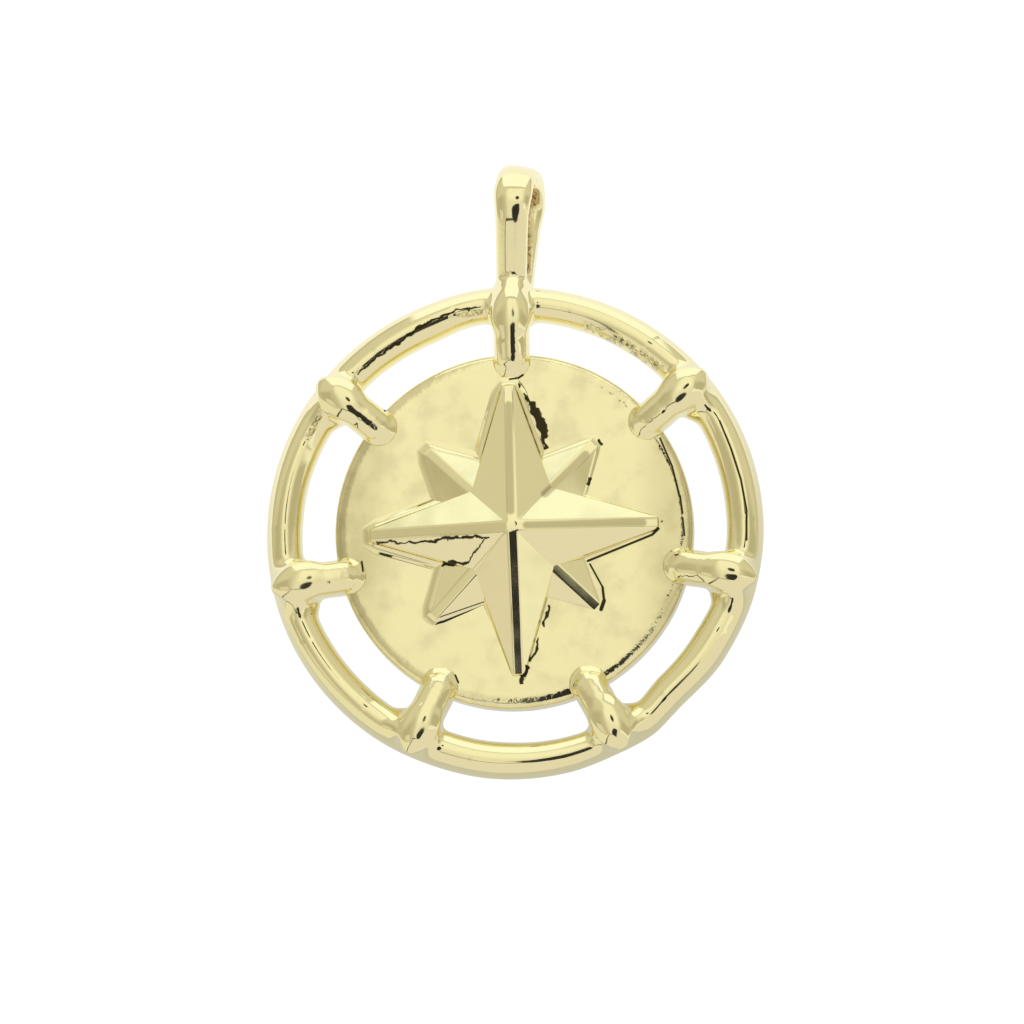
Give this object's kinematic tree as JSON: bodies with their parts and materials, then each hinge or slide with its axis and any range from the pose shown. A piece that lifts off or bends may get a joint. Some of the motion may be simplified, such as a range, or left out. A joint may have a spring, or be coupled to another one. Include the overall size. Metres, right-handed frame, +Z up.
{
  "type": "north star charm",
  "caption": "Round cast metal charm: an open wire ring whose claws hold a flat medallion with a raised compass star, and a fixed loop at the top for a chain.",
  "frame": {"origin": "the middle of the bottom of the charm's box as it lies on its back, on the surface that it rests on", "axes": "+Z up out of the face with the star, +Y towards the loop for the chain, +X to the right of the star"},
  "size_m": [0.02, 0.025, 0.0033],
  "materials": {
    "pale_gold": "polished pale gold plate on cast brass, smooth and mirror-bright with a faint haze on the medallion and a rough as-cast surface inside the bail and along the ring's inner side"
  },
  "bodies": {
    "root": {"charm": "pale_gold"}
  },
  "joints": []
}
